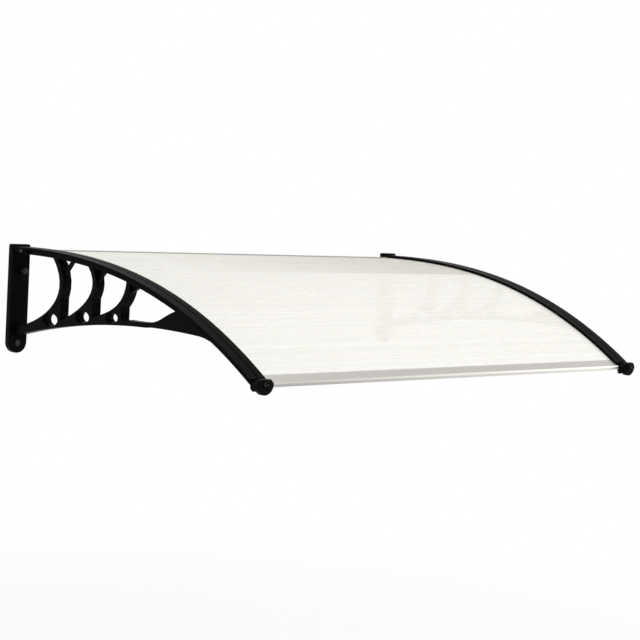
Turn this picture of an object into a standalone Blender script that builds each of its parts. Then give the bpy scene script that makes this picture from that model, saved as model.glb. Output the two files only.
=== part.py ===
# Arched door canopy: two moulded brackets, a twin-wall sheet, cover strips, a front and a rear rail.
# X runs along the wall, the wall face is the plane Y = 0, the canopy reaches towards -Y, and Z is up.
# Side outlines are drawn as (out, up): out is the distance from the wall.
import math

import bmesh
import bpy
from mathutils import Matrix, Vector

# Main sizes
BRACKET_SPACING = 1.200
REACH = 0.780
HEIGHT_AT_WALL = 0.0113
SLOPE_AT_WALL = 0.0114
HEIGHT_AT_TIP = -0.2084
SLOPE_AT_TIP = -0.7297
FIT = 0.0003
ARCH_STEPS = 34

# Cover strip, a channel that clamps the sheet's edge
STRIP_WIDTH = 0.044
STRIP_DEPTH = 0.0062
STRIP_WALL = 0.0022
STRIP_LIP = 0.0020
STRIP_PAD_WIDTH = 0.0085
STRIP_SHORT = 0.0150
GROOVE_WIDTH = 0.0035
GROOVE_DEPTH = 0.0012
STRIP_ROUNDING = 0.0010

# Twin-wall sheet, with its flutes along X
SHEET_THICKNESS = 0.0045
SHEET_SHORT = 0.0200
SKIN = 0.0006
FLUTE_PITCH = 0.0060
FLUTE_WALL = 0.0006

# Bracket moulding
RAIL_WIDTH = 0.024
LEDGE_THICKNESS = 0.0037
RIB_WIDTH = 0.0236
WEB_THICKNESS = 0.008
STRUT_THICKNESS = 0.012
STRUT_HEADS = (0.140, 0.258, 0.382)
STRUT_HEAD_PULLS = ((0.090, -0.103), (0.066, -0.072), (-0.006, -0.077))
STRUT_FEET = (0.006, 0.165, 0.270)
STRUT_FOOT_LIFTS = (0.0204, 0.0099, 0.0085)
STRUT_FOOT_PULLS = ((0.043, 0.002), (0.000, 0.006), (0.000, 0.018))
TOE_HEAD = 0.534
TOE_HEAD_PULL = (-0.060, -0.022)
TOE_FOOT = 0.384
TOE_FOOT_LIFT = 0.012
TOE_FOOT_PULL = (0.117, -0.003)
BRACE_CROWN_OUT = 0.4676
BRACE_CROWN_UP = -0.1277
BRACE_RADIUS = 1.930
BRACE_THICKNESS = 0.0095
BRACE_LIP = 0.0030
BRACE_THIN_START = 0.430
BRACE_THICK_END = 0.450
BRACE_BLEND_START = 0.605
BRACE_BLEND_END = 0.668
FOOT_FRONTS = (0.171, 0.277, 0.370)
FOOT_FILLET = 0.004
FOOT_HOLES = ((0.1375, -0.1374), (0.2448, -0.1232), (0.3393, -0.1170))
FOOT_HOLE_SIZES = ((0.0248, 0.0142), (0.0225, 0.0130), (0.0200, 0.0112))
TOE_WEB_WIDTH = 0.0212
SPUR_STARTS = (0.176, 0.290, 0.392)
SPUR_DROPS = (0.036, 0.022, 0.020)
SPUR_ENDS = (0.199, 0.307, 0.418)
SPUR_THICKNESS = 0.006

# Wall plate
PLATE_WIDTH = 0.048
PLATE_THICKNESS = 0.0135
PLATE_TOP = 0.0167
PLATE_BOTTOM = -0.2204
PLATE_CORNER = 0.004
PLATE_ROUNDING = 0.002
BOSS_RADIUS = 0.0080
BOSS_LENGTH = 0.0115
BOSS_UP = -0.0407
LOW_HOLE_UP = -0.1985
RECESS_RADIUS = 0.0082
RECESS_DEPTH = 0.0070

# Wall bolts and washers
BOLT_RADIUS = 0.0039
BOLT_HOLE = 0.0043
BOLT_HEAD_RADIUS = 0.0072
BOLT_HEAD_HEIGHT = 0.0050
WASHER_RADIUS = 0.0077
WASHER_THICKNESS = 0.0014

# Block at the arm's root, inside the strip
ROOT_BLOCK_END = 0.055
ROOT_BLOCK_DEPTH = 0.0030

# Front end of the arm and its cap
BEAD_ALONG = 0.0154
BEAD_SQUARE = 0.0006
END_BLOCK_RADIUS = 0.008
END_BLOCK_SHORT = 0.0040
END_BLOCK_DEPTH = 0.0030
PEG_RADIUS = 0.0032
PEG_LENGTH = 0.020
CAP_WIDTH = 0.044
CAP_PAST = 0.0080
CAP_RISE = 0.0079
CAP_CENTRE_RISE = 0.0029
CAP_ROUNDING = 0.0035
CAP_SCREW_RISE = 0.0014
TONGUE_SHORT = 0.0015
TONGUE_DEPTH = 0.0060
TONGUE_DROP = 0.0141
TONGUE_THICKNESS = 0.0042
TONGUE_LENGTH = 0.028

# Front rail
BEAD_RADIUS = 0.0053
BEAD_BORE = 0.0036
RAIL_WALL = 0.0012
FRONT_LIP = 0.008
RAIL_WEB = 0.0018

# Rear rail and seal
SEAL_THICKNESS = 0.0020
SEAL_HEIGHT = 0.0072
REAR_BOX_DEPTH = 0.0090
REAR_LIP = 0.0170

# Screws
SCREW_SHANK = 0.0019
SCREW_HOLE = 0.0022
SCREW_HEAD_RADIUS = 0.0040
SCREW_HEAD_HEIGHT = 0.0024
SCREW_LENGTH = 0.0125
STRIP_SCREW_OUTS = (0.075, 0.228, 0.345, 0.478)
STRIP_SCREW_SHORT = 0.080
STRIP_SCREW_SIDE = -0.0062
ROOT_SCREW_OUT = 0.0422
ROOT_SCREW_UP = 0.0035
CAP_SCREW_HEAD_RADIUS = 0.0058
CAP_SCREW_HEAD_HEIGHT = 0.0060
CAP_SCREW_LENGTH = 0.024

# Depths below the arch's top line
SHEET_TOP = STRIP_DEPTH + FIT
SHEET_BOTTOM = SHEET_TOP + SHEET_THICKNESS
LEDGE_TOP = SHEET_BOTTOM + FIT
ARM_DEPTH = LEDGE_TOP + LEDGE_THICKNESS
LEDGE_MIDDLE = LEDGE_TOP + LEDGE_THICKNESS * 0.5

# Distances from the wall
ARM_START = PLATE_THICKNESS * 0.5
SHEET_REAR = PLATE_THICKNESS + 2 * FIT
SHEET_FRONT = REACH - SHEET_SHORT
STRIP_END = REACH - STRIP_SHORT
END_BLOCK_FRONT = REACH - END_BLOCK_SHORT
CAP_FRONT = REACH + CAP_PAST
TONGUE_BACK = REACH - TONGUE_SHORT
ALL_STRIP_SCREWS = (*STRIP_SCREW_OUTS, REACH - STRIP_SCREW_SHORT)

# Heights at the front end
CAP_TOP = HEIGHT_AT_TIP + CAP_RISE
CAP_CENTRE_UP = HEIGHT_AT_TIP + CAP_CENTRE_RISE
CAP_SCREW_UP = HEIGHT_AT_TIP + CAP_SCREW_RISE
TONGUE_UP = HEIGHT_AT_TIP - TONGUE_DROP


def arch_height(out):
    """Height of the arch's top line: one cubic from the wall to the tip."""
    t = out / REACH
    wall = (2 * t**3 - 3 * t**2 + 1) * HEIGHT_AT_WALL + (t**3 - 2 * t**2 + t) * REACH * SLOPE_AT_WALL
    tip = (3 * t**2 - 2 * t**3) * HEIGHT_AT_TIP + (t**3 - t**2) * REACH * SLOPE_AT_TIP
    return wall + tip


def arch_slope(out):
    step = 1e-5
    return (arch_height(out + step) - arch_height(out - step)) / (2 * step)


def arch_normal(out):
    slope = arch_slope(out)
    length = math.hypot(1.0, slope)
    return -slope / length, 1.0 / length


def below_arch(out, depth):
    """The point at this depth under the arch's top line, square to it."""
    normal_out, normal_up = arch_normal(out)
    return out - depth * normal_out, arch_height(out) - depth * normal_up


def under_arch(out, depth):
    """Height at this distance from the wall of the line that runs at this depth."""
    return arch_height(out) - depth * math.hypot(1.0, arch_slope(out))


def steps_between(first, last, count):
    return [first + (last - first) * i / count for i in range(count + 1)]


def arch_band(first, last, top, bottom):
    """Closed outline between two depths of the arch."""
    count = max(2, round(ARCH_STEPS * abs(last - first) / REACH))
    outs = steps_between(first, last, count)
    return [below_arch(out, top) for out in outs] + [below_arch(out, bottom) for out in reversed(outs)]


def arc(centre, radius, first, last, count):
    """Points of a circle between two angles in degrees."""
    angles = [math.radians(a) for a in steps_between(first, last, count)]
    return [(centre[0] + radius * math.cos(a), centre[1] + radius * math.sin(a)) for a in angles]


def bezier(start, start_pull, end, end_pull, count):
    points = []
    for t in steps_between(0.0, 1.0, count):
        weights = ((1 - t) ** 3, 3 * (1 - t) ** 2 * t, 3 * (1 - t) * t**2, t**3)
        handles = (
            start,
            (start[0] + start_pull[0], start[1] + start_pull[1]),
            (end[0] + end_pull[0], end[1] + end_pull[1]),
            end,
        )
        points.append(tuple(sum(w * h[axis] for w, h in zip(weights, handles)) for axis in (0, 1)))
    return points


def offset_path(points, distance):
    """The path moved sideways, to its left as it runs."""
    moved = []
    for i, (out, up) in enumerate(points):
        before = points[max(i - 1, 0)]
        after = points[min(i + 1, len(points) - 1)]
        run, rise = after[0] - before[0], after[1] - before[1]
        length = math.hypot(run, rise)
        moved.append((out - distance * rise / length, up + distance * run / length))
    return moved


def brace_low(out):
    """Lower edge of the brace: a wide arc, then a blend into the arm's underside."""
    if out <= BRACE_BLEND_START:
        drop = BRACE_RADIUS - math.sqrt(BRACE_RADIUS**2 - (out - BRACE_CROWN_OUT) ** 2)
        return BRACE_CROWN_UP - drop
    start = brace_low(BRACE_BLEND_START)
    end = under_arch(BRACE_BLEND_END, ARM_DEPTH)
    slope = -(BRACE_BLEND_START - BRACE_CROWN_OUT) / BRACE_RADIUS
    t = (out - BRACE_BLEND_START) / (BRACE_BLEND_END - BRACE_BLEND_START)
    bend = start + slope * (BRACE_BLEND_END - BRACE_BLEND_START) * 0.5
    return (1 - t) ** 2 * start + 2 * t * (1 - t) * bend + t**2 * end


def kept_inside(points):
    """Ends of a strut tucked into the ledge above and the brace below."""
    tucked = []
    for out, up in points:
        up = min(up, under_arch(out, LEDGE_MIDDLE))
        tucked.append((out, max(up, brace_low(out) + BRACE_LIP * 0.5)))
    return tucked


# Objects
collections = {}


def in_collection(name):
    if name not in collections:
        collections[name] = bpy.data.collections.new(name)
        bpy.context.scene.collection.children.link(collections[name])
    return collections[name]


def material(name, colour, roughness, metallic=0.0, alpha=1.0):
    made = bpy.data.materials.get(name)
    if made is None:
        made = bpy.data.materials.new(name)
        made.use_nodes = True
        shader = made.node_tree.nodes["Principled BSDF"]
        shader.inputs["Base Color"].default_value = (*colour, 1.0)
        shader.inputs["Roughness"].default_value = roughness
        shader.inputs["Metallic"].default_value = metallic
        shader.inputs["Alpha"].default_value = alpha
    return made


def black_plastic():
    return material("black_plastic", (0.018, 0.018, 0.019), 0.42)


def clear_sheet():
    return material("clear_sheet", (0.93, 0.94, 0.94), 0.15, alpha=0.45)


def aluminium():
    return material("aluminium", (0.78, 0.78, 0.77), 0.32, metallic=1.0)


def seal_rubber():
    return material("seal_rubber", (0.03, 0.03, 0.03), 0.8)


def screw_steel():
    return material("black_screw_steel", (0.035, 0.035, 0.037), 0.35, metallic=0.6)


def baked(obj):
    """The object's evaluated mesh, welded, in world space, as a new object in its place."""
    bpy.context.view_layer.update()
    evaluated = obj.evaluated_get(bpy.context.evaluated_depsgraph_get())
    mesh = bpy.data.meshes.new_from_object(evaluated)
    mesh.transform(obj.matrix_world)
    shape = bmesh.new()
    shape.from_mesh(mesh)
    bmesh.ops.remove_doubles(shape, verts=shape.verts, dist=1e-6)
    bmesh.ops.recalc_face_normals(shape, faces=shape.faces)
    shape.to_mesh(mesh)
    shape.free()
    name, home = obj.name, obj.users_collection[0]
    bpy.data.objects.remove(obj)
    solid = bpy.data.objects.new(name, mesh)
    mesh.name = name
    home.objects.link(solid)
    return solid


# A side outline (out, up) stands in the plane of X, a front outline (x, up) in the plane of Y.
SIDE_VIEW = Matrix(((0, 0, -1, 0), (-1, 0, 0, 0), (0, 1, 0, 0), (0, 0, 0, 1)))
FRONT_VIEW = Matrix(((1, 0, 0, 0), (0, 0, -1, 0), (0, 1, 0, 0), (0, 0, 0, 1)))


def flat_shape(name, outlines, thickness, matrix, home="Door canopy"):
    curve = bpy.data.curves.new(name, "CURVE")
    curve.dimensions = "2D"
    curve.fill_mode = "BOTH"
    curve.extrude = thickness / 2
    for outline in outlines:
        spline = curve.splines.new("POLY")
        spline.points.add(len(outline) - 1)
        for point, (first, second) in zip(spline.points, outline):
            point.co = (first, second, 0.0, 1.0)
        spline.use_cyclic_u = True
    obj = bpy.data.objects.new(name, curve)
    in_collection(home).objects.link(obj)
    obj.matrix_world = matrix
    return baked(obj)


def side_shape(name, outlines, first_x, last_x, home="Door canopy"):
    """A side outline as a solid between two places along X."""
    matrix = Matrix.Translation(((first_x + last_x) / 2, 0, 0)) @ SIDE_VIEW
    return flat_shape(name, outlines, abs(last_x - first_x), matrix, home)


def front_shape(name, outlines, first_out, last_out, home="Door canopy"):
    """A front outline as a solid between two distances from the wall."""
    matrix = Matrix.Translation((0, -(first_out + last_out) / 2, 0)) @ FRONT_VIEW
    return flat_shape(name, outlines, abs(last_out - first_out), matrix, home)


def swept(name, section, outs):
    """A closed section, as (side, depth) under the arch's top line, carried along the left arm."""
    shape = bmesh.new()
    rings = []
    for out in outs:
        points = [(side, *below_arch(out, depth)) for side, depth in section]
        rings.append([shape.verts.new((across(side), -away, up)) for side, away, up in points])
    for ring, following in zip(rings, rings[1:]):
        for i in range(len(section)):
            j = (i + 1) % len(section)
            shape.faces.new((ring[i], ring[j], following[j], following[i]))
    shape.faces.new(rings[0])
    shape.faces.new(rings[-1])
    bmesh.ops.recalc_face_normals(shape, faces=shape.faces)
    mesh = bpy.data.meshes.new(name)
    shape.to_mesh(mesh)
    shape.free()
    obj = bpy.data.objects.new(name, mesh)
    in_collection("Door canopy").objects.link(obj)
    return obj


def turned(name, profile, seat, direction, sides, home="Door canopy"):
    """A profile of (radius, along) turned about the line from the seat in this direction."""
    mesh = bpy.data.meshes.new(name)
    corners = [(radius, 0, along) for radius, along in profile]
    edges = [(index, index + 1) for index in range(len(profile) - 1)]
    mesh.from_pydata(corners, edges, [])
    obj = bpy.data.objects.new(name, mesh)
    in_collection(home).objects.link(obj)
    lathe = obj.modifiers.new("lathe", "SCREW")
    lathe.steps = sides
    lathe.render_steps = sides
    lathe.use_merge_vertices = True
    lathe.merge_threshold = 0.00001
    turn = Vector(direction).to_track_quat("Z", "Y").to_matrix().to_4x4()
    obj.matrix_world = Matrix.Translation(seat) @ turn
    return baked(obj)


def round_bar(name, radius, start, end, sides=20, end_radius=None, home="Door canopy"):
    """A cylinder or cone between two points."""
    start, end = Vector(start), Vector(end)
    shape = bmesh.new()
    bmesh.ops.create_cone(
        shape,
        cap_ends=True,
        segments=sides,
        radius1=radius,
        radius2=radius if end_radius is None else end_radius,
        depth=(end - start).length,
    )
    turn = (end - start).to_track_quat("Z", "Y").to_matrix().to_4x4()
    bmesh.ops.transform(shape, matrix=Matrix.Translation((start + end) / 2) @ turn, verts=shape.verts)
    mesh = bpy.data.meshes.new(name)
    shape.to_mesh(mesh)
    shape.free()
    obj = bpy.data.objects.new(name, mesh)
    in_collection(home).objects.link(obj)
    return obj


def combined(target, tools, operation):
    """All the tools in one Boolean, used up afterwards."""
    group = bpy.data.collections.new(f"{target.name}_{operation.lower()}")
    for tool in tools:
        group.objects.link(tool)
        tool.hide_render = True
        tool.display_type = "WIRE"
    modifier = target.modifiers.new(operation.lower(), "BOOLEAN")
    modifier.operation = operation
    modifier.solver = "EXACT"
    modifier.operand_type = "COLLECTION"
    modifier.collection = group
    target = baked(target)
    for tool in tools:
        bpy.data.objects.remove(tool)
    bpy.data.collections.remove(group)
    return target


def finished(obj, surface, name=None):
    if name:
        obj.name = name
        obj.data.name = name
    obj.data.materials.clear()
    obj.data.materials.append(surface)
    obj.data.shade_smooth()
    obj.data.set_sharp_from_angle(angle=math.radians(30))
    return obj


def mirrored(obj, name):
    """The right-hand piece from the left-hand one, across the middle of the canopy."""
    mesh = obj.data.copy()
    mesh.transform(Matrix.Scale(-1.0, 4, (1, 0, 0)))
    mesh.flip_normals()
    mesh.name = name
    copy = bpy.data.objects.new(name, mesh)
    in_collection("Door canopy").objects.link(copy)
    return copy


def bevel_front_edges(obj, front_out, width, segments):
    """Rounds the rim of the face that looks away from the wall."""
    shape = bmesh.new()
    shape.from_mesh(obj.data)
    rim = [
        edge
        for edge in shape.edges
        if all(abs(v.co.y + front_out) < 1e-5 for v in edge.verts)
        and edge.calc_face_angle(0.0) > math.radians(60)
    ]
    bmesh.ops.bevel(shape, geom=rim, offset=width, segments=segments, profile=0.5, affect="EDGES")
    shape.to_mesh(obj.data)
    shape.free()


# Places across the left arm, measured from its middle towards the canopy's centre
LEFT = -BRACKET_SPACING / 2


def across(side):
    return LEFT + side


RAIL_OUTER = across(-RAIL_WIDTH / 2)
RAIL_INNER = across(RAIL_WIDTH / 2)
SHEET_EDGE = LEFT
FRONT_RAIL_END = across(STRIP_WIDTH / 2 + FIT)
REAR_RAIL_END = across(PLATE_WIDTH / 2 + FIT)


def strut_curves():
    """Rear edge of each crescent strut, from the arm down to the brace."""
    curves = []
    for index, (head, foot) in enumerate(zip(STRUT_HEADS, STRUT_FEET)):
        start = (head, under_arch(head, ARM_DEPTH))
        end = (foot, brace_low(foot) + STRUT_FOOT_LIFTS[index])
        curves.append(bezier(start, STRUT_HEAD_PULLS[index], end, STRUT_FOOT_PULLS[index], 18))
    return curves


def toe_curve():
    """Upper edge of the last crescent, where the brace meets the arm."""
    start = (TOE_HEAD, under_arch(TOE_HEAD, ARM_DEPTH))
    end = (TOE_FOOT, brace_low(TOE_FOOT) + TOE_FOOT_LIFT)
    return bezier(start, TOE_HEAD_PULL, end, TOE_FOOT_PULL, 14)


def crescent(name, rear, width):
    front = offset_path(rear, STRUT_THICKNESS)
    outline = kept_inside(rear) + kept_inside(front)[::-1]
    return side_shape(name, [outline], across(-width / 2), across(width / 2))


def foot(name, front_out, rear):
    """Solid foot of a strut, from its tail along the brace to its front edge."""
    middle = offset_path(rear, STRUT_THICKNESS * 0.5)
    widest = middle.index(max(middle))
    upper = [point for point in middle[widest:] if point[0] < front_out]
    corner = front_out + FOOT_FILLET
    centre = (corner, brace_low(corner) + BRACE_THICKNESS + FOOT_FILLET - 0.0003)
    outs = steps_between(upper[-1][0], corner, 10)
    outline = [(front_out, upper[0][1])] + upper + [(out, brace_low(out) + BRACE_LIP * 0.3) for out in outs]
    outline += arc(centre, FOOT_FILLET, 270, 180, 5)
    half = RIB_WIDTH / 2 - 0.0005
    return side_shape(name, [outline], across(-half), across(half))


def foot_hole(name, centre, size):
    """Oval hole through a strut's foot, along X."""
    angles = [math.radians(angle) for angle in range(0, 360, 12)]
    outline = [(centre[0] + size[0] * math.cos(a), centre[1] + size[1] * math.sin(a)) for a in angles]
    return side_shape(name, [outline], across(-RAIL_WIDTH), across(RAIL_WIDTH), "Cutters")


def spur(name, start_out, drop, end_out):
    """Thin brace in the web, from the strut's front up to the arm."""
    start = (start_out - SPUR_THICKNESS, under_arch(start_out, ARM_DEPTH) - drop - SPUR_THICKNESS)
    end = (end_out, under_arch(end_out, LEDGE_MIDDLE))
    path = bezier(start, (0.002, drop * 0.35), end, (-0.006, -drop * 0.25), 6)
    other = offset_path(path, SPUR_THICKNESS)
    outline = path + [(out, min(up, under_arch(out, LEDGE_MIDDLE))) for out, up in other[::-1]]
    return side_shape(name, [outline], across(-WEB_THICKNESS / 2), across(WEB_THICKNESS / 2))


def wall_plate():
    half = PLATE_WIDTH / 2
    outline = arc((LEFT, PLATE_BOTTOM + half), half, 180, 360, 20)
    outline += arc((LEFT + half - PLATE_CORNER, PLATE_TOP - PLATE_CORNER), PLATE_CORNER, 0, 90, 4)
    outline += arc((LEFT - half + PLATE_CORNER, PLATE_TOP - PLATE_CORNER), PLATE_CORNER, 90, 180, 4)
    plate = front_shape("wall_plate", [outline], 0.0, PLATE_THICKNESS)
    bevel_front_edges(plate, PLATE_THICKNESS, PLATE_ROUNDING, 3)
    return plate


def front_rail_point(along, square):
    """From the sheet's front edge: along its slope, and square to its middle plane."""
    normal_out, normal_up = arch_normal(SHEET_FRONT)
    middle = below_arch(SHEET_FRONT, (SHEET_TOP + SHEET_BOTTOM) / 2)
    out = middle[0] + along * normal_up + square * normal_out
    up = middle[1] - along * normal_out + square * normal_up
    return out, up


def end_block_outline():
    past_strip = STRIP_END + 2 * FIT
    past_sheet = SHEET_FRONT + 2 * FIT
    rear = [
        below_arch(SHEET_FRONT - END_BLOCK_RADIUS, ARM_DEPTH - LEDGE_THICKNESS * 0.2),
        below_arch(SHEET_FRONT - END_BLOCK_RADIUS, LEDGE_MIDDLE),
        below_arch(past_sheet, LEDGE_MIDDLE),
        below_arch(past_sheet, STRIP_DEPTH + 2 * FIT),
    ]
    top = [below_arch(past_strip, STRIP_DEPTH + 2 * FIT), below_arch(past_strip, END_BLOCK_DEPTH)]
    top.append((END_BLOCK_FRONT, below_arch(past_strip, END_BLOCK_DEPTH)[1]))
    round_end = arc(front_rail_point(BEAD_ALONG, BEAD_SQUARE), END_BLOCK_RADIUS, 0, -150, 10)
    return rear + top + [(min(out, END_BLOCK_FRONT), up) for out, up in round_end]


def build_bracket():
    rib_outer, rib_inner = across(-RIB_WIDTH / 2), across(RIB_WIDTH / 2)
    ledge = side_shape(
        "bracket_left", [arch_band(ARM_START, SHEET_FRONT + 0.003, LEDGE_TOP, ARM_DEPTH)], RAIL_OUTER, RAIL_INNER
    )
    pieces = [wall_plate()]
    shoulder = arch_band(ARM_START, SHEET_FRONT + 0.003, STRIP_DEPTH + FIT, LEDGE_MIDDLE)
    pieces.append(side_shape("shoulder", [shoulder], RAIL_OUTER + 0.0002, SHEET_EDGE - FIT))
    root_block = arch_band(ARM_START, ROOT_BLOCK_END, ROOT_BLOCK_DEPTH, LEDGE_MIDDLE - 0.0005)
    block_outer = across(-STRIP_WIDTH / 2 + STRIP_LIP + FIT)
    pieces.append(side_shape("root_block", [root_block], block_outer, SHEET_EDGE - FIT * 2))
    outs = steps_between(ARM_START, BRACE_THICK_END, 24)
    brace = [(out, brace_low(out)) for out in outs]
    brace += [(out, brace_low(out) + BRACE_THICKNESS) for out in outs[::-1]]
    pieces.append(side_shape("brace", [brace], rib_outer, rib_inner))
    outs = steps_between(BRACE_THIN_START, BRACE_BLEND_END, 16)
    lip = [(out, brace_low(out)) for out in outs] + [(out, brace_low(out) + BRACE_LIP) for out in outs[::-1]]
    pieces.append(side_shape("brace_lip", [kept_inside(lip)], rib_outer + 0.0002, rib_inner - 0.0002))
    struts = strut_curves()
    for index, rear in enumerate(struts):
        pieces.append(crescent(f"strut_{index + 1}", rear, RIB_WIDTH - 0.0006))
        pieces.append(foot(f"foot_{index + 1}", FOOT_FRONTS[index], rear))
        pieces.append(spur(f"spur_{index + 1}", SPUR_STARTS[index], SPUR_DROPS[index], SPUR_ENDS[index]))
    toe = toe_curve()
    pieces.append(crescent("toe", toe, RIB_WIDTH - 0.0008))
    outs = steps_between(TOE_HEAD, BRACE_BLEND_END - 0.015, 6)
    web = [(out, under_arch(out, LEDGE_MIDDLE)) for out in outs]
    outs = steps_between(BRACE_BLEND_END - 0.015, TOE_FOOT + 0.06, 12)
    web += [(out, brace_low(out) + BRACE_LIP * 0.5) for out in outs]
    web += offset_path(toe, STRUT_THICKNESS * 0.5)[10:0:-1]
    pieces.append(side_shape("toe_web", [web], across(-TOE_WEB_WIDTH / 2), across(TOE_WEB_WIDTH / 2)))
    boss_start = (LEFT, -PLATE_THICKNESS * 0.5, BOSS_UP)
    pieces.append(round_bar("boss", BOSS_RADIUS, boss_start, (LEFT, -PLATE_THICKNESS - BOSS_LENGTH, BOSS_UP), 24))
    pieces.append(side_shape("end_block", [end_block_outline()], RAIL_OUTER + 0.0004, RAIL_INNER - 0.0004))
    bead_out, bead_up = front_rail_point(BEAD_ALONG, BEAD_SQUARE)
    peg_end = (FRONT_RAIL_END + PEG_LENGTH, -bead_out, bead_up)
    pieces.append(round_bar("peg", PEG_RADIUS, (LEFT, -bead_out, bead_up), peg_end, 16))
    bracket = combined(ledge, pieces, "UNION")
    cutters = [
        round_bar("upper_hole", BOLT_HOLE, (LEFT, 0.01, BOSS_UP), (LEFT, -0.05, BOSS_UP), 20, home="Cutters"),
        round_bar("low_hole", BOLT_HOLE, (LEFT, 0.01, LOW_HOLE_UP), (LEFT, -0.03, LOW_HOLE_UP), 20, home="Cutters"),
        round_bar(
            "recess",
            RECESS_RADIUS,
            (LEFT, RECESS_DEPTH - PLATE_THICKNESS, LOW_HOLE_UP),
            (LEFT, -0.02, LOW_HOLE_UP),
            24,
            home="Cutters",
        ),
    ]
    cutters += [foot_hole(f"foot_hole_{i}", *hole) for i, hole in enumerate(zip(FOOT_HOLES, FOOT_HOLE_SIZES))]
    cutters += [strip_screw_hole(f"screw_hole_{i}", out) for i, out in enumerate(ALL_STRIP_SCREWS)]
    cutters.append(
        round_bar(
            "root_hole",
            SCREW_HOLE,
            (across(-STRIP_WIDTH), -ROOT_SCREW_OUT, ROOT_SCREW_UP),
            (across(-STRIP_WIDTH / 2 + SCREW_LENGTH + FIT), -ROOT_SCREW_OUT, ROOT_SCREW_UP),
            16,
            home="Cutters",
        )
    )
    cutters.append(
        round_bar(
            "cap_hole",
            SCREW_HOLE,
            (LEFT, -CAP_FRONT, CAP_SCREW_UP),
            (LEFT, -CAP_FRONT + CAP_SCREW_LENGTH + FIT, CAP_SCREW_UP),
            16,
            home="Cutters",
        )
    )
    bracket = combined(bracket, cutters, "DIFFERENCE")
    finished(bracket, black_plastic(), "bracket_left")
    mirrored(bracket, "bracket_right")


def strip_screw_line(out, first_depth, last_depth):
    """A line square to the arch, in the outer half of the arm."""
    first = below_arch(out, first_depth)
    last = below_arch(out, last_depth)
    side = across(STRIP_SCREW_SIDE)
    return (side, -first[0], first[1]), (side, -last[0], last[1])


def strip_screw_hole(name, out):
    """Countersunk from the arm's underside."""
    first, last = strip_screw_line(out, ARM_DEPTH, 0.0)
    mouth = SCREW_HEAD_RADIUS + FIT * 1.4
    profile = [(0.0, -0.002), (mouth + 0.002, -0.002), (SCREW_HOLE, mouth - SCREW_HOLE)]
    profile += [(SCREW_HOLE, SCREW_LENGTH + FIT), (0.0, SCREW_LENGTH + FIT)]
    return turned(name, profile, first, Vector(last) - Vector(first), 16, "Cutters")


def strip_section():
    """Channel with two side lips, a screw pad and a groove along the top."""
    half = STRIP_WIDTH / 2
    soft = STRIP_ROUNDING
    pad_outer = STRIP_SCREW_SIDE - STRIP_PAD_WIDTH / 2
    pad_inner = STRIP_SCREW_SIDE + STRIP_PAD_WIDTH / 2
    groove = SHEET_EDGE - LEFT
    section = arc((-half + soft, soft), soft, 180, 270, 3)
    section += [(groove, 0), (groove, GROOVE_DEPTH)]
    section += [(groove + GROOVE_WIDTH, GROOVE_DEPTH), (groove + GROOVE_WIDTH, 0)]
    section += arc((half - soft, soft), soft, 270, 360, 3)
    section += [(half, STRIP_DEPTH), (half - STRIP_LIP, STRIP_DEPTH), (half - STRIP_LIP, STRIP_WALL)]
    section += [(pad_inner, STRIP_WALL), (pad_inner, STRIP_DEPTH)]
    section += [(pad_outer, STRIP_DEPTH), (pad_outer, STRIP_WALL)]
    section += [(STRIP_LIP - half, STRIP_WALL), (STRIP_LIP - half, STRIP_DEPTH), (-half, STRIP_DEPTH)]
    return section


def build_cover_strip():
    outer = across(-STRIP_WIDTH / 2)
    outs = steps_between(PLATE_THICKNESS + FIT, STRIP_END, ARCH_STEPS)
    strip = swept("cover_strip_left", strip_section(), outs)
    pad_middle = across(STRIP_SCREW_SIDE)
    room = arch_band(0.0, ROOT_BLOCK_END + FIT, STRIP_WALL - 0.0001, STRIP_DEPTH + 0.002)
    pad_sides = (pad_middle - STRIP_PAD_WIDTH, pad_middle + STRIP_PAD_WIDTH * 0.6)
    cutters = [side_shape("pad_end", [room], *pad_sides, "Cutters")]
    cutters += [strip_screw_hole(f"strip_hole_{i}", out) for i, out in enumerate(ALL_STRIP_SCREWS)]
    cutters.append(
        round_bar(
            "lip_hole",
            SCREW_HOLE,
            (across(-STRIP_WIDTH), -ROOT_SCREW_OUT, ROOT_SCREW_UP),
            (outer + STRIP_LIP * 2, -ROOT_SCREW_OUT, ROOT_SCREW_UP),
            16,
            home="Cutters",
        )
    )
    strip = combined(strip, cutters, "DIFFERENCE")
    finished(strip, black_plastic(), "cover_strip_left")
    mirrored(strip, "cover_strip_right")


def arch_length(first, last, count=200):
    points = [(out, arch_height(out)) for out in steps_between(first, last, count)]
    return sum(math.dist(a, b) for a, b in zip(points, points[1:]))


def build_sheet():
    """Two skins joined by ribs, as one extrusion with open flutes."""
    outline = arch_band(SHEET_REAR, SHEET_FRONT, SHEET_TOP, SHEET_BOTTOM)
    count = int(arch_length(SHEET_REAR, SHEET_FRONT) / FLUTE_PITCH)
    edges = steps_between(SHEET_REAR, SHEET_FRONT, count)
    flutes = []
    for first, last in zip(edges, edges[1:]):
        half_wall = FLUTE_WALL / 2 / math.hypot(1.0, arch_slope(first))
        near, far = first + half_wall, last - half_wall
        top, bottom = SHEET_TOP + SKIN, SHEET_BOTTOM - SKIN
        corners = ((near, top), (far, top), (far, bottom), (near, bottom))
        flutes.append([below_arch(*corner) for corner in corners])
    # The end cells keep a full wall at the sheet's edge
    sheet = side_shape("roof_sheet", [outline] + flutes[1:-1], SHEET_EDGE, -SHEET_EDGE)
    finished(sheet, clear_sheet())


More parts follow.
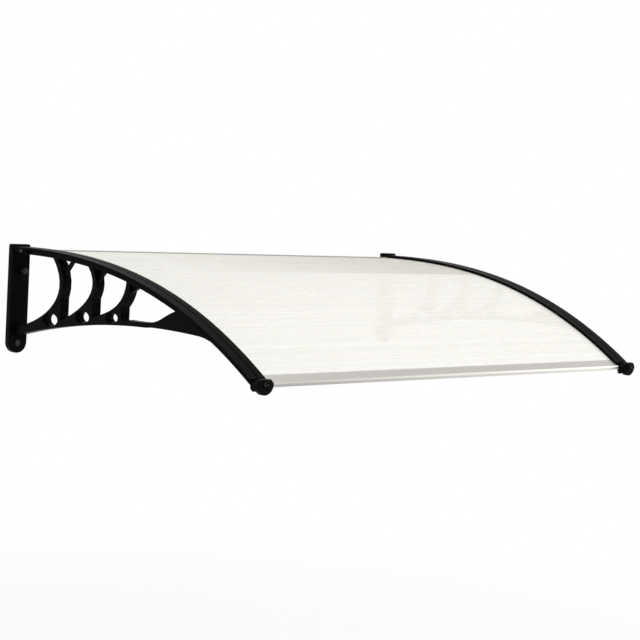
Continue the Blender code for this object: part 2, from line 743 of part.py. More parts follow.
def build_front_rail():
    mouth = SHEET_THICKNESS / 2 + FIT
    face = mouth + RAIL_WALL
    lean = math.degrees(math.asin((face - BEAD_SQUARE) / BEAD_RADIUS))
    low_lean = math.degrees(math.asin((face + BEAD_SQUARE) / BEAD_RADIUS))
    bead = arc((BEAD_ALONG, BEAD_SQUARE), BEAD_RADIUS, 180 - lean, -180 + low_lean, 18)
    section = [(FIT, mouth), (-FRONT_LIP, mouth), (-FRONT_LIP, face)] + bead
    section += [(-FRONT_LIP, -face), (-FRONT_LIP, -mouth), (FIT, -mouth)]
    box_end = BEAD_ALONG - BEAD_RADIUS - RAIL_WALL * 0.3
    box = [
        (FIT + RAIL_WEB, mouth),
        (box_end, mouth),
        (box_end, -mouth),
        (FIT + RAIL_WEB, -mouth),
    ]
    bore = arc((BEAD_ALONG, BEAD_SQUARE), BEAD_BORE, 0, 330, 11)
    outlines = [[front_rail_point(*point) for point in outline] for outline in (section, box, bore)]
    rail = side_shape("front_rail", outlines, FRONT_RAIL_END, -FRONT_RAIL_END)
    finished(rail, aluminium())


def build_rear_rail():
    top, bottom = arch_height(SHEET_REAR) - SHEET_TOP, arch_height(SHEET_REAR) - SHEET_BOTTOM
    back = SEAL_THICKNESS + FIT
    box_front = back + REAR_BOX_DEPTH
    lip_end = SHEET_REAR + REAR_LIP
    lip_top = arch_height(lip_end) - SHEET_TOP + FIT
    lip_bottom = arch_height(lip_end) - SHEET_BOTTOM - FIT
    mouth_rear = SHEET_REAR - FIT
    section = [
        (back, top + FIT + RAIL_WALL),
        (mouth_rear, top + FIT + RAIL_WALL),
        (lip_end, lip_top + RAIL_WALL),
        (lip_end, lip_top),
        (mouth_rear, top + FIT),
        (mouth_rear, bottom - FIT),
        (lip_end, lip_bottom),
        (lip_end, lip_bottom - RAIL_WALL),
        (mouth_rear, bottom - FIT - RAIL_WALL),
        (back, bottom - FIT - RAIL_WALL),
    ]
    box = [
        (back + RAIL_WALL, top),
        (box_front, top),
        (box_front, bottom),
        (back + RAIL_WALL, bottom),
    ]
    rail = side_shape("rear_rail", [section, box], REAR_RAIL_END, -REAR_RAIL_END)
    finished(rail, aluminium())
    middle = (top + bottom) / 2
    strip = [
        (0.0, middle - SEAL_HEIGHT / 2),
        (SEAL_THICKNESS, middle - SEAL_HEIGHT / 2),
        (SEAL_THICKNESS, middle + SEAL_HEIGHT / 2),
        (0.0, middle + SEAL_HEIGHT / 2),
    ]
    seal = side_shape("rear_seal", [strip], REAR_RAIL_END, -REAR_RAIL_END)
    finished(seal, seal_rubber())


def tongue_outline():
    left, right = across(CAP_WIDTH * 0.25), across(CAP_WIDTH / 2 + TONGUE_LENGTH)
    top = TONGUE_UP + TONGUE_THICKNESS
    return [
        (left, TONGUE_UP),
        (right - TONGUE_THICKNESS / 2, TONGUE_UP),
        (right, TONGUE_UP + TONGUE_THICKNESS / 2),
        (right, top),
        (left, top),
    ]


def build_end_cap():
    """Rounded shield that closes the arm's front end."""
    half = CAP_WIDTH / 2
    outline = arc((LEFT, CAP_CENTRE_UP), half, 180, 360, 20)
    outline += [(LEFT + half, CAP_TOP), (LEFT - half, CAP_TOP)]
    cap = front_shape("end_cap_left", [outline], END_BLOCK_FRONT + FIT, CAP_FRONT)
    bevel_front_edges(cap, CAP_FRONT, CAP_ROUNDING, 3)
    hole = round_bar(
        "cap_screw_hole",
        SCREW_HOLE,
        (LEFT, -CAP_FRONT - CAP_ROUNDING, CAP_SCREW_UP),
        (LEFT, CAP_ROUNDING - END_BLOCK_FRONT, CAP_SCREW_UP),
        16,
        home="Cutters",
    )
    tongue = front_shape("tongue", [tongue_outline()], TONGUE_BACK, TONGUE_BACK + TONGUE_DEPTH)
    cap = combined(cap, [tongue], "UNION")
    cap = combined(cap, [hole], "DIFFERENCE")
    finished(cap, black_plastic(), "end_cap_left")
    mirrored(cap, "end_cap_right")


def screw(name, seat, direction, length, head_radius, head_height):
    """Pan head outside the seat, shank inside it; direction points into the work."""
    profile = [(0.0, length), (SCREW_SHANK * 0.5, length), (SCREW_SHANK, length - SCREW_SHANK), (SCREW_SHANK, -FIT)]
    profile += [(head_radius, -FIT), (head_radius, -FIT - head_height * 0.35)]
    for angle in (30, 60):
        turn = math.radians(angle)
        profile.append((head_radius * math.cos(turn), -FIT - head_height * (0.35 + 0.65 * math.sin(turn))))
    profile.append((0.0, -FIT - head_height))
    return finished(turned(name, profile, seat, direction, 14), screw_steel())


def sunk_screw(name, seat, direction, length, head_radius):
    """Countersunk screw, its flat head a hair below the seat."""
    profile = [(0.0, length), (SCREW_SHANK * 0.5, length), (SCREW_SHANK, length - SCREW_SHANK)]
    profile += [(SCREW_SHANK, head_radius - SCREW_SHANK), (head_radius - 0.0002, 0.0002), (0.0, 0.0002)]
    return finished(turned(name, profile, seat, direction, 14), screw_steel())


def build_screws():
    for index, out in enumerate(ALL_STRIP_SCREWS):
        first, last = strip_screw_line(out, ARM_DEPTH, 0.0)
        direction = Vector(last) - Vector(first)
        made = sunk_screw(f"strip_screw_left_{index + 1}", first, direction, SCREW_LENGTH - FIT, SCREW_HEAD_RADIUS)
        mirrored(made, f"strip_screw_right_{index + 1}")
    seat = (across(-STRIP_WIDTH / 2), -ROOT_SCREW_OUT, ROOT_SCREW_UP)
    made = screw("root_screw_left", seat, (1, 0, 0), SCREW_LENGTH, SCREW_HEAD_RADIUS, SCREW_HEAD_HEIGHT)
    mirrored(made, "root_screw_right")
    seat = (LEFT, -CAP_FRONT, CAP_SCREW_UP)
    made = screw(
        "cap_screw_left", seat, (0, 1, 0), CAP_SCREW_LENGTH, CAP_SCREW_HEAD_RADIUS, CAP_SCREW_HEAD_HEIGHT
    )
    mirrored(made, "cap_screw_right")


def wall_bolt(name, seat_out, up):
    """Washer and hexagon bolt, cut off at the wall face."""
    seat = -seat_out - FIT
    washer = [(BOLT_HOLE, 0), (WASHER_RADIUS, 0), (WASHER_RADIUS, WASHER_THICKNESS), (BOLT_HOLE, WASHER_THICKNESS)]
    ring = turned(f"washer_{name}", washer + washer[:1], (LEFT, seat, up), (0, -1, 0), 20)
    finished(ring, screw_steel())
    mirrored(ring, f"washer_{name}".replace("left", "right"))
    under_head = seat - WASHER_THICKNESS - FIT
    head = round_bar(
        f"wall_bolt_{name}", BOLT_HEAD_RADIUS, (LEFT, under_head, up), (LEFT, under_head - BOLT_HEAD_HEIGHT, up), 6
    )
    shank = round_bar("shank", BOLT_RADIUS, (LEFT, under_head - BOLT_HEAD_HEIGHT / 2, up), (LEFT, -FIT, up), 16)
    bolt = combined(head, [shank], "UNION")
    finished(bolt, screw_steel())
    mirrored(bolt, f"wall_bolt_{name}".replace("left", "right"))


for leftover in list(bpy.data.objects):
    bpy.data.objects.remove(leftover)

build_bracket()
build_cover_strip()
build_sheet()
build_front_rail()
build_rear_rail()
build_end_cap()
build_screws()
wall_bolt("left_upper", PLATE_THICKNESS + BOSS_LENGTH, BOSS_UP)
wall_bolt("left_lower", PLATE_THICKNESS - RECESS_DEPTH, LOW_HOLE_UP)
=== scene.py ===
import math

import bpy
from mathutils import Matrix, Vector


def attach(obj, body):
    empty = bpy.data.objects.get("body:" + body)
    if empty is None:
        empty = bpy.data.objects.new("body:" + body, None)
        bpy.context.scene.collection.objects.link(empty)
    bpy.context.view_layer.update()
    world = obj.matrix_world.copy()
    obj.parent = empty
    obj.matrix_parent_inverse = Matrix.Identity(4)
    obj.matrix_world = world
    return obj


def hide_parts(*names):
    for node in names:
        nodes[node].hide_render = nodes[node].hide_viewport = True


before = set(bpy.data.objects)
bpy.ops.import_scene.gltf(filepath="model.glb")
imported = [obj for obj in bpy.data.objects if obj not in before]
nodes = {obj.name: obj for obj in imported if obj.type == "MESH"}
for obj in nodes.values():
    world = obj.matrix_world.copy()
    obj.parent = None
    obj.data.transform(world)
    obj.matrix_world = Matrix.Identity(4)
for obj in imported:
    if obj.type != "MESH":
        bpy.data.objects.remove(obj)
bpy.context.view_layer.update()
print("frame loaded:", len(nodes), "nodes")

# Camera: on the canopy's left front, a little above its rear edge
cameraValues = {
    "place": (-2.9989, -3.2164, 0.1410),
    "headingDegrees": 46.244,
    "pitchDegrees": -3.689,
    "rollDegrees": 3.043,
    "focalPixels": 1819.6,
    "imagePixels": 640,
    "sensorWidth": 36.0,
    "clipStart": 0.05,
    "clipEnd": 60.0,
}


def makeCamera(values):
    heading = math.radians(values["headingDegrees"])
    pitch = math.radians(values["pitchDegrees"])
    roll = math.radians(values["rollDegrees"])
    level = Vector((math.cos(heading), -math.sin(heading), 0.0))
    forward = Vector((math.sin(heading), math.cos(heading), 0.0))
    ahead = forward * math.cos(pitch) + Vector((0.0, 0.0, math.sin(pitch)))
    upright = level.cross(ahead)
    right = level * math.cos(roll) + upright * math.sin(roll)
    up = upright * math.cos(roll) - level * math.sin(roll)
    lens = bpy.data.cameras.new("camera")
    lens.sensor_width = values["sensorWidth"]
    lens.lens = values["focalPixels"] / values["imagePixels"] * values["sensorWidth"]
    lens.clip_start = values["clipStart"]
    lens.clip_end = values["clipEnd"]
    camera = bpy.data.objects.new("camera", lens)
    bpy.context.scene.collection.objects.link(camera)
    turn = Matrix((right, up, -ahead)).transposed().to_4x4()
    camera.matrix_world = Matrix.Translation(values["place"]) @ turn
    bpy.context.scene.camera = camera


makeCamera(cameraValues)
print("camera placed")


# Small helpers for shader trees. A socket's value is a number, a colour or another node's output.
def fillSockets(tree, node, values):
    for name, value in values.items():
        if isinstance(value, bpy.types.NodeSocket):
            tree.links.new(value, node.inputs[name])
        else:
            node.inputs[name].default_value = value


def addNode(tree, kind, sockets=None, **settings):
    node = tree.nodes.new(kind)
    for name, value in settings.items():
        setattr(node, name, value)
    fillSockets(tree, node, sockets or {})
    return node


def mathNode(tree, operation, first, second):
    return addNode(tree, "ShaderNodeMath", {0: first, 1: second}, operation=operation).outputs[0]


def newGroup(name, inputs, outputs):
    tree = bpy.data.node_groups.new(name, "ShaderNodeTree")
    for label, kind, value in inputs:
        socket = tree.interface.new_socket(label, in_out="INPUT", socket_type=kind)
        if value is not None:
            socket.default_value = value
    for label in outputs:
        tree.interface.new_socket(label, in_out="OUTPUT", socket_type="NodeSocketFloat")
    return tree, tree.nodes.new("NodeGroupInput"), tree.nodes.new("NodeGroupOutput")


def useGroup(tree, group, values):
    return addNode(tree, "ShaderNodeGroup", values, node_tree=group)


def newMaterial(name):
    material = bpy.data.materials.new(name)
    material.use_nodes = True
    tree = material.node_tree
    shader = tree.nodes["Principled BSDF"]
    place = tree.nodes.new("ShaderNodeTexCoord").outputs["Object"]
    return material, tree, shader, place


def opaque(colour):
    return (*colour, 1.0)


def mixColours(tree, mask, first, second):
    blend = addNode(tree, "ShaderNodeMix", {0: mask, 6: first, 7: second}, data_type="RGBA")
    return blend.outputs[2]


# Fine grain of a moulded or coated surface: a height, an uneven roughness and slow clouds
def makeGrainGroup():
    inputs = [
        ("Place", "NodeSocketVector", None),
        ("Grain Scale", "NodeSocketFloat", 900.0),
        ("Cloud Scale", "NodeSocketFloat", 18.0),
        ("Roughness", "NodeSocketFloat", 0.4),
        ("Spread", "NodeSocketFloat", 0.08),
    ]
    tree, source, sink = newGroup("surfaceGrain", inputs, ("Height", "Roughness", "Cloud"))
    place = source.outputs["Place"]
    grainSockets = {"Vector": place, "Scale": source.outputs["Grain Scale"], "Detail": 3.0, "Roughness": 0.6}
    cloudSockets = {"Vector": place, "Scale": source.outputs["Cloud Scale"], "Detail": 4.0, "Roughness": 0.55}
    grain = addNode(tree, "ShaderNodeTexNoise", grainSockets)
    cloud = addNode(tree, "ShaderNodeTexNoise", cloudSockets)
    centred = mathNode(tree, "SUBTRACT", cloud.outputs["Fac"], 0.5)
    spread = mathNode(tree, "MULTIPLY", centred, source.outputs["Spread"])
    doubled = mathNode(tree, "MULTIPLY", spread, 2.0)
    rough = mathNode(tree, "ADD", doubled, source.outputs["Roughness"])
    results = {"Height": grain.outputs["Fac"], "Roughness": rough, "Cloud": cloud.outputs["Fac"]}
    fillSockets(tree, sink, results)
    return tree


# Noise drawn out along X, as a drawn or extruded piece has it
def drawnNoise(tree, source, squeeze, roughness):
    drawnSockets = {0: source.outputs["Place"], 1: (squeeze, 1.0, 1.0)}
    drawn = addNode(tree, "ShaderNodeVectorMath", drawnSockets, operation="MULTIPLY")
    noiseSockets = {
        "Vector": drawn.outputs[0],
        "Scale": source.outputs["Line Scale"],
        "Detail": 2.0,
        "Roughness": roughness,
    }
    return addNode(tree, "ShaderNodeTexNoise", noiseSockets).outputs["Fac"]


# Draw lines of an extruded profile
def makeDrawLineGroup():
    inputs = [("Place", "NodeSocketVector", None), ("Line Scale", "NodeSocketFloat", 900.0)]
    tree, source, sink = newGroup("drawLines", inputs, ("Height",))
    fillSockets(tree, sink, {"Height": drawnNoise(tree, source, squeeze=0.012, roughness=0.5)})
    return tree


grainGroup = makeGrainGroup()
drawLineGroup = makeDrawLineGroup()


# Softened edges under a fine bump
def softenedNormal(tree, height, values):
    soft = addNode(tree, "ShaderNodeBevel", {"Radius": values["edgeRadius"]}, samples=4)
    bumpSockets = {
        "Strength": values["bumpStrength"],
        "Distance": values["bumpDepth"],
        "Height": height,
        "Normal": soft.outputs["Normal"],
    }
    return addNode(tree, "ShaderNodeBump", bumpSockets).outputs["Normal"]


# Black plastic of the brackets and noses
mouldingValues = {
    "colour": (0.0020, 0.0019, 0.0018),
    "paleColour": (0.0042, 0.0039, 0.0035),
    "roughness": 0.40,
    "spread": 0.06,
    "specular": 0.03,
    "edgeRadius": 0.0011,
    "bumpStrength": 0.10,
    "bumpDepth": 0.00012,
}

# Black plastic of the cover strips, a little paler and less shiny
stripValues = dict(
    mouldingValues,
    colour=(0.0035, 0.0033, 0.0030),
    paleColour=(0.0065, 0.0060, 0.0053),
    specular=0.011,
)

# Rubber seal
sealValues = dict(
    mouldingValues,
    colour=(0.022, 0.022, 0.022),
    paleColour=(0.034, 0.034, 0.034),
    roughness=0.75,
)


def makePlastic(name, values):
    material, tree, shader, place = newMaterial(name)
    grainSockets = {"Place": place, "Roughness": values["roughness"], "Spread": values["spread"]}
    grain = useGroup(tree, grainGroup, grainSockets)
    clouded = mixColours(tree, grain.outputs["Cloud"], opaque(values["colour"]), opaque(values["paleColour"]))
    shaderSockets = {
        "Base Color": clouded,
        "Roughness": grain.outputs["Roughness"],
        "Specular IOR Level": values["specular"],
        "Normal": softenedNormal(tree, grain.outputs["Height"], values),
    }
    fillSockets(tree, shader, shaderSockets)
    return material


# Twin-wall sheet: milky skins that let a little of what lies behind through, faint lines along the flutes,
# and a painted shade: a darker, warmer band painted along the rear where the sheet runs nearly level
sheetValues = {
    "colour": (0.985, 0.974, 0.935),
    "lineColour": (0.955, 0.944, 0.905),
    "lineScale": 120.0,
    # Painted shade: the darker, warmer colour of the rear band and where it lies
    "paintedShadeColour": (0.815, 0.790, 0.742),
    "paintedShadeEnd": -0.333,
    "paintedShadeSoftness": 0.016,
    "paintedShadeFrom": -0.38,
    "paintedShadeFullAt": 0.55,
    "opacity": 0.36,
    "lineOpacity": 0.14,
    "shadowOpacity": 0.10,
    "roughness": 0.45,
    "spread": 0.04,
    "cloudScale": 6.0,
    "specular": 0.08,
}


# Fine lines along X, as an extruded sheet has between its flutes
def makeFluteLineGroup():
    inputs = [("Place", "NodeSocketVector", None), ("Line Scale", "NodeSocketFloat", 120.0)]
    tree, source, sink = newGroup("fluteLines", inputs, ("Mask",))
    spreadSockets = {
        "Value": drawnNoise(tree, source, squeeze=0.002, roughness=0.6),
        "From Min": 0.38,
        "From Max": 0.66,
    }
    spread = addNode(tree, "ShaderNodeMapRange", spreadSockets, interpolation_type="SMOOTHSTEP")
    fillSockets(tree, sink, {"Mask": spread.outputs["Result"]})
    return tree


# Painted shade: a darker band along the rear of the sheet, painted stronger from left to right
def makePaintedShadeBandGroup():
    inputs = [
        ("Place", "NodeSocketVector", None),
        ("End", "NodeSocketFloat", -0.3),
        ("Softness", "NodeSocketFloat", 0.01),
        ("From", "NodeSocketFloat", -0.4),
        ("Full At", "NodeSocketFloat", 0.5),
    ]
    tree, source, sink = newGroup("paintedRearShade", inputs, ("Mask",))
    split = addNode(tree, "ShaderNodeSeparateXYZ", {0: source.outputs["Place"]})
    past = mathNode(tree, "SUBTRACT", split.outputs["Y"], source.outputs["End"])
    share = mathNode(tree, "DIVIDE", past, source.outputs["Softness"])
    clipped = addNode(tree, "ShaderNodeClamp", {"Value": share})
    acrossSockets = {
        "Value": split.outputs["X"],
        "From Min": source.outputs["From"],
        "From Max": source.outputs["Full At"],
    }
    across = addNode(tree, "ShaderNodeMapRange", acrossSockets)
    mask = mathNode(tree, "MULTIPLY", clipped.outputs[0], across.outputs["Result"])
    fillSockets(tree, sink, {"Mask": mask})
    return tree


def makeSheetMaterial(values):
    material, tree, shader, place = newMaterial("clearSheet")
    grainSockets = {
        "Place": place,
        "Roughness": values["roughness"],
        "Spread": values["spread"],
        "Cloud Scale": values["cloudScale"],
    }
    paintedShadeSockets = {
        "Place": place,
        "End": values["paintedShadeEnd"],
        "Softness": values["paintedShadeSoftness"],
        "From": values["paintedShadeFrom"],
        "Full At": values["paintedShadeFullAt"],
    }
    grain = useGroup(tree, grainGroup, grainSockets)
    paintedShadeBand = useGroup(tree, makePaintedShadeBandGroup(), paintedShadeSockets)
    lines = useGroup(tree, makeFluteLineGroup(), {"Place": place, "Line Scale": values["lineScale"]})
    lineMask = lines.outputs["Mask"]
    lined = mixColours(tree, lineMask, opaque(values["colour"]), opaque(values["lineColour"]))
    # Painted shade along the rear, mixed over the sheet's colour
    paintedShadeMixed = mixColours(tree, paintedShadeBand.outputs["Mask"], lined, opaque(values["paintedShadeColour"]))

    # The lines are a little denser than the sheet, and the shadow is much lighter than the sheet looks
    path = addNode(tree, "ShaderNodeLightPath")
    lineShare = mathNode(tree, "MULTIPLY", lineMask, values["lineOpacity"])
    lineOpacity = mathNode(tree, "ADD", lineShare, values["opacity"])
    shadowDrop = values["opacity"] - values["shadowOpacity"]
    drop = mathNode(tree, "MULTIPLY", path.outputs["Is Shadow Ray"], shadowDrop)
    shaderSockets = {
        "Base Color": paintedShadeMixed,
        "Roughness": grain.outputs["Roughness"],
        "Specular IOR Level": values["specular"],
        "Alpha": mathNode(tree, "SUBTRACT", lineOpacity, drop),
    }
    fillSockets(tree, shader, shaderSockets)
    return material


# Drawn aluminium of the two rails
railValues = {
    "colour": (0.495, 0.480, 0.450),
    "roughness": 0.40,
    "spread": 0.05,
    "cloudScale": 9.0,
    "edgeRadius": 0.0004,
    "bumpStrength": 0.25,
    "bumpDepth": 0.00008,
}
# Painted light: the rear rail is a paler copy of the same aluminium, painted lighter where it looks more lit
litRearRailValues = dict(railValues, colour=(0.50, 0.492, 0.470))

# Painted highlight: the front rail's bead is painted brighter than the rail, more so towards the right
paintedBeadHighlightValues = {
    "axisPlace": (0.0, -0.7724, -0.2094),
    "radius": 0.0058,
    "edge": 0.0003,
    "colour": (0.86, 0.84, 0.785),
    "highlightFrom": -0.50,
    "highlightFullAt": 0.50,
}


def makePaintedBeadHighlight(tree, place, values, railColour):
    section = addNode(tree, "ShaderNodeVectorMath", {0: place, 1: (0.0, 1.0, 1.0)}, operation="MULTIPLY")
    reachSockets = {0: section.outputs[0], 1: values["axisPlace"]}
    reach = addNode(tree, "ShaderNodeVectorMath", reachSockets, operation="DISTANCE")
    insideSockets = {
        "Value": reach.outputs["Value"],
        "From Min": values["radius"] + values["edge"],
        "From Max": values["radius"] - values["edge"],
    }
    inside = addNode(tree, "ShaderNodeMapRange", insideSockets)
    split = addNode(tree, "ShaderNodeSeparateXYZ", {0: place})
    acrossSockets = {
        "Value": split.outputs["X"],
        "From Min": values["highlightFrom"],
        "From Max": values["highlightFullAt"],
    }
    across = addNode(tree, "ShaderNodeMapRange", acrossSockets)
    mask = mathNode(tree, "MULTIPLY", inside.outputs["Result"], across.outputs["Result"])
    return mixColours(tree, mask, opaque(railColour), opaque(values["colour"]))


def makeRailMaterial(name, values, beadHighlight=None):
    material, tree, shader, place = newMaterial(name)
    grainSockets = {
        "Place": place,
        "Roughness": values["roughness"],
        "Spread": values["spread"],
        "Cloud Scale": values["cloudScale"],
    }
    grain = useGroup(tree, grainGroup, grainSockets)
    lines = useGroup(tree, drawLineGroup, {"Place": place})
    shaderSockets = {
        "Base Color": opaque(values["colour"]),
        "Metallic": 1.0,
        "Roughness": grain.outputs["Roughness"],
        "Normal": softenedNormal(tree, lines.outputs["Height"], values),
    }
    # The bead's painted highlight is mixed into the rail's colour
    if beadHighlight:
        shaderSockets["Base Color"] = makePaintedBeadHighlight(tree, place, beadHighlight, values["colour"])
    fillSockets(tree, shader, shaderSockets)
    return material


# Black coated steel of the screws, bolts and washers
steelValues = {
    "colour": (0.030, 0.030, 0.031),
    "metallic": 0.55,
    "roughness": 0.36,
    "grainScale": 1400.0,
    "edgeRadius": 0.0004,
    "bumpStrength": 0.05,
    "bumpDepth": 0.00005,
}


def makeSteel(values):
    material, tree, shader, place = newMaterial("blackSteel")
    grainSockets = {"Place": place, "Roughness": values["roughness"], "Grain Scale": values["grainScale"]}
    grain = useGroup(tree, grainGroup, grainSockets)
    shaderSockets = {
        "Base Color": opaque(values["colour"]),
        "Metallic": values["metallic"],
        "Roughness": grain.outputs["Roughness"],
        "Normal": softenedNormal(tree, grain.outputs["Height"], values),
    }
    fillSockets(tree, shader, shaderSockets)
    return material


# What each family of nodes is made of; all other nodes are screws, bolts and washers
mouldedPlastic = makePlastic("mouldedPlastic", mouldingValues)
blackSteel = makeSteel(steelValues)
finishes = {
    "bracket": mouldedPlastic,
    "end_cap": mouldedPlastic,
    "cover_strip": makePlastic("stripPlastic", stripValues),
    "roof_sheet": makeSheetMaterial(sheetValues),
    "front_rail": makeRailMaterial("drawnAluminiumPaintedHighlight", railValues, paintedBeadHighlightValues),
    "rear_rail": makeRailMaterial("paintedLitAluminium", litRearRailValues),
    "rear_seal": makePlastic("sealRubber", sealValues),
}


def dress(piece, material):
    piece.data.materials.clear()
    piece.data.materials.append(material)


for nodeName, piece in nodes.items():
    family = next((name for name in finishes if nodeName.startswith(name)), None)
    dress(piece, finishes[family] if family else blackSteel)
print("materials assigned")

# Noses at the arms' front ends: a round-bottomed shield with a screw boss and a lobe on the outer side.
# The right one has a short tongue below the rail.
noseValues = {
    "middle": 0.600,
    "back": 0.7763,
    "front": 0.7880,
    "radius": 0.0220,
    "centreUp": -0.2055,
    "topUp": -0.1968,
    "rounding": 0.0040,
    "cornerReach": 0.0168,
    "cornerLeanDegrees": 48.0,
    "bossSide": 0.0045,
    "bossUp": -0.2066,
    "bossRadius": 0.0086,
    "bossFront": 0.7940,
    "bossSink": 0.0030,
    "bossRounding": 0.0012,
    "lobeOut": 0.7675,
    "lobeUp": -0.2122,
    "lobeRadius": 0.0096,
    "lobeSides": (-0.0136, 0.0100),
    "lobeRounding": 0.0016,
    "tongueLength": 0.0160,
    "tongueSink": 0.0040,
    "tongueOuts": (0.7800, 0.7868),
    "tongueUps": (-0.2218, -0.2184),
    "tongueRounding": 0.0012,
}
roundingValues = {
    "cylinderSides": 72,
    "bevelSegments": 5,
    "bevelFromDegrees": 40.0,
    "smoothBelowDegrees": 35.0,
}


def roundEdges(piece, width):
    bevel = piece.modifiers.new("rounding", "BEVEL")
    bevel.width = width
    bevel.segments = roundingValues["bevelSegments"]
    bevel.limit_method = "ANGLE"
    bevel.angle_limit = math.radians(roundingValues["bevelFromDegrees"])


def makeCylinder(radius, centre, length, rounding, alongX=False):
    quarterTurn = math.pi / 2
    bpy.ops.object.select_all(action="DESELECT")
    bpy.ops.mesh.primitive_cylinder_add(
        vertices=roundingValues["cylinderSides"],
        radius=radius,
        depth=length,
        location=centre,
        rotation=(0.0, quarterTurn, 0.0) if alongX else (quarterTurn, 0.0, 0.0),
    )
    piece = bpy.context.object
    bpy.ops.object.transform_apply(location=True, rotation=True, scale=True)
    roundEdges(piece, rounding)
    return piece


def applyModifiers(piece):
    bpy.ops.object.select_all(action="DESELECT")
    bpy.context.view_layer.objects.active = piece
    piece.select_set(True)
    for modifier in list(piece.modifiers):
        bpy.ops.object.modifier_apply(modifier=modifier.name)


def joinPieces(pieces, name):
    for piece in pieces:
        applyModifiers(piece)
    bpy.ops.object.select_all(action="DESELECT")
    for piece in pieces:
        piece.select_set(True)
    whole = pieces[0]
    bpy.context.view_layer.objects.active = whole
    bpy.ops.object.join()
    whole.name = name
    bpy.ops.object.shade_smooth_by_angle(angle=math.radians(roundingValues["smoothBelowDegrees"]))
    return whole


# A disc facing forwards, cut flat at its top and slanted at both upper corners
def makeShield(values):
    depth = values["front"] - values["back"]
    centre = (-values["middle"], -(values["front"] + values["back"]) / 2, values["centreUp"])
    shield = makeCylinder(values["radius"], centre, depth, values["rounding"])
    top = values["topUp"] - values["centreUp"]
    lean = math.radians(values["cornerLeanDegrees"])
    bpy.ops.object.mode_set(mode="EDIT")
    for angle, reach in ((0.0, top), (lean, values["cornerReach"]), (-lean, values["cornerReach"])):
        facing = Vector((math.sin(angle), 0.0, math.cos(angle)))
        cutPlace = Vector(centre) + facing * reach
        bpy.ops.mesh.select_all(action="SELECT")
        bpy.ops.mesh.bisect(plane_co=cutPlace, plane_no=facing, use_fill=True, clear_outer=True)
    bpy.ops.object.mode_set(mode="OBJECT")
    return shield


def makeBoss(values):
    depth = values["bossFront"] - values["front"] + values["bossSink"]
    centre = (-values["middle"] + values["bossSide"], depth / 2 - values["bossFront"], values["bossUp"])
    return makeCylinder(values["bossRadius"], centre, depth, values["bossRounding"])


def makeLobe(values):
    outer, inner = values["lobeSides"]
    centre = (-values["middle"] + (outer + inner) / 2, -values["lobeOut"], values["lobeUp"])
    return makeCylinder(values["lobeRadius"], centre, inner - outer, values["lobeRounding"], alongX=True)


# The tongue runs from inside the right shield towards the canopy's middle
def makeTongue(values):
    rear, front = values["tongueOuts"]
    low, high = values["tongueUps"]
    side = values["middle"] - values["radius"] + (values["tongueSink"] - values["tongueLength"]) / 2
    bpy.ops.object.select_all(action="DESELECT")
    bpy.ops.mesh.primitive_cube_add(size=1.0, location=(side, -(rear + front) / 2, (low + high) / 2))
    tongue = bpy.context.object
    tongue.scale = (values["tongueLength"] + values["tongueSink"], front - rear, high - low)
    bpy.ops.object.transform_apply(location=True, rotation=True, scale=True)
    roundEdges(tongue, values["tongueRounding"])
    return tongue


def mirrorPiece(piece, name):
    mesh = piece.data.copy()
    mesh.transform(Matrix.Scale(-1.0, 4, (1.0, 0.0, 0.0)))
    mesh.flip_normals()
    twin = bpy.data.objects.new(name, mesh)
    bpy.context.scene.collection.objects.link(twin)
    return twin


noseLeft = joinPieces([makeShield(noseValues), makeBoss(noseValues), makeLobe(noseValues)], "noseLeft")
noseRight = joinPieces([mirrorPiece(noseLeft, "noseRight"), makeTongue(noseValues)], "noseRight")
for nose, capName in ((noseLeft, "end_cap_left"), (noseRight, "end_cap_right")):
    dress(nose, finishes["end_cap"])
    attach(nose, "root")
    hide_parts(capName)
print("noses made")

# Floor, world and lamps
stageValues = {
    "floorHeight": -1.10,
    "floorSize": 9.0,
    "floorColour": (0.86, 0.86, 0.86),
    "floorRoughness": 0.9,
    "nearWhite": 0.88,
    "fadeStart": 1.0,
    "fadeEnd": 2.6,
    "worldLevel": 0.58,
    "lampAim": (0.0, -0.35, -0.1),
}
lampValues = [
    {"name": "keyLamp", "place": (0.2, -3.8, 2.4), "size": 2.4, "power": 51.0},
    {"name": "fillLamp", "place": (3.2, -1.6, 1.2), "size": 2.6, "power": 10.0},
    {"name": "topLamp", "place": (0.0, -0.6, 2.8), "size": 2.2, "power": 23.0},
]


# One where the camera, a reflection or a clear sheet shows the surface, nought where it only lights others
def seenDirectly(tree):
    path = addNode(tree, "ShaderNodeLightPath")
    seen = mathNode(tree, "MAXIMUM", path.outputs["Is Camera Ray"], path.outputs["Is Glossy Ray"])
    return mathNode(tree, "MAXIMUM", seen, path.outputs["Is Transmission Ray"])


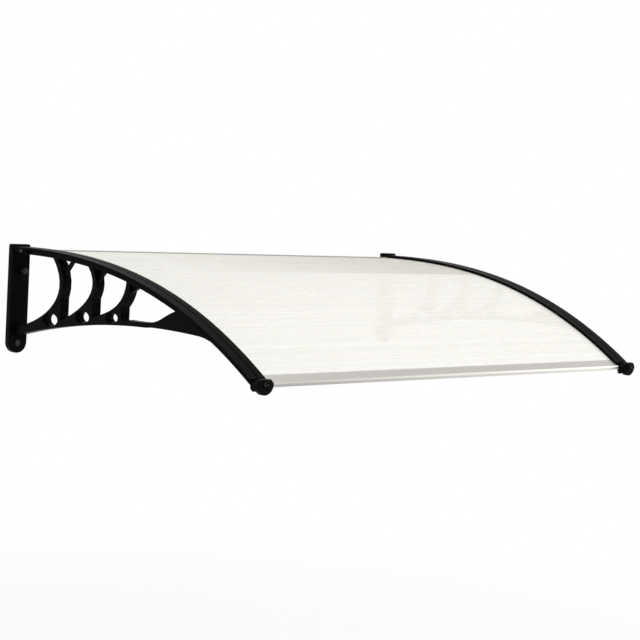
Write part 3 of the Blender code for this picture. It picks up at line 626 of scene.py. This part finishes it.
# A pale floor that takes the shadow, fades to plain white with distance and is clear from below
def makeFloor(values):
    bpy.ops.object.select_all(action="DESELECT")
    bpy.ops.mesh.primitive_plane_add(size=values["floorSize"], location=(0.0, 0.0, values["floorHeight"]))
    floor = bpy.context.object
    floor.name = "studioFloor"
    material, tree, shader, place = newMaterial("paleFloor")
    shaderSockets = {"Base Color": opaque(values["floorColour"]), "Roughness": values["floorRoughness"]}
    fillSockets(tree, shader, shaderSockets)
    reach = addNode(tree, "ShaderNodeVectorMath", {0: place}, operation="LENGTH")
    fadeSockets = {
        "Value": reach.outputs["Value"],
        "From Min": values["fadeStart"],
        "From Max": values["fadeEnd"],
        "To Min": values["nearWhite"],
        "To Max": 1.0,
    }
    fade = addNode(tree, "ShaderNodeMapRange", fadeSockets, interpolation_type="SMOOTHSTEP")
    share = mathNode(tree, "MULTIPLY", fade.outputs["Result"], seenDirectly(tree))
    white = addNode(tree, "ShaderNodeEmission")
    faded = addNode(tree, "ShaderNodeMixShader", {0: share, 1: shader.outputs[0], 2: white.outputs[0]})
    side = addNode(tree, "ShaderNodeNewGeometry").outputs["Backfacing"]
    clear = addNode(tree, "ShaderNodeBsdfTransparent")
    oneSided = addNode(tree, "ShaderNodeMixShader", {0: side, 1: faded.outputs[0], 2: clear.outputs[0]})
    fillSockets(tree, tree.nodes["Material Output"], {"Surface": oneSided.outputs[0]})
    floor.data.materials.append(material)


def makeWorld(values):
    world = bpy.data.worlds.new("studioWorld")
    bpy.context.scene.world = world
    world.use_nodes = True
    tree = world.node_tree
    lift = mathNode(tree, "MULTIPLY", seenDirectly(tree), 1.0 - values["worldLevel"])
    level = mathNode(tree, "ADD", lift, values["worldLevel"])
    fillSockets(tree, tree.nodes["Background"], {"Color": (1.0, 1.0, 1.0, 1.0), "Strength": level})


def makeLamps(rows, aimPlace):
    for row in rows:
        lamp = bpy.data.lights.new(row["name"], "AREA")
        lamp.shape = "DISK"
        lamp.size = row["size"]
        lamp.energy = row["power"]
        holder = bpy.data.objects.new(row["name"], lamp)
        bpy.context.scene.collection.objects.link(holder)
        place = Vector(row["place"])
        turn = (Vector(aimPlace) - place).to_track_quat("-Z", "Y").to_matrix().to_4x4()
        holder.matrix_world = Matrix.Translation(place) @ turn


makeFloor(stageValues)
makeWorld(stageValues)
makeLamps(lampValues, stageValues["lampAim"])
bpy.context.scene.view_settings.view_transform = "Standard"
print("stage lit")
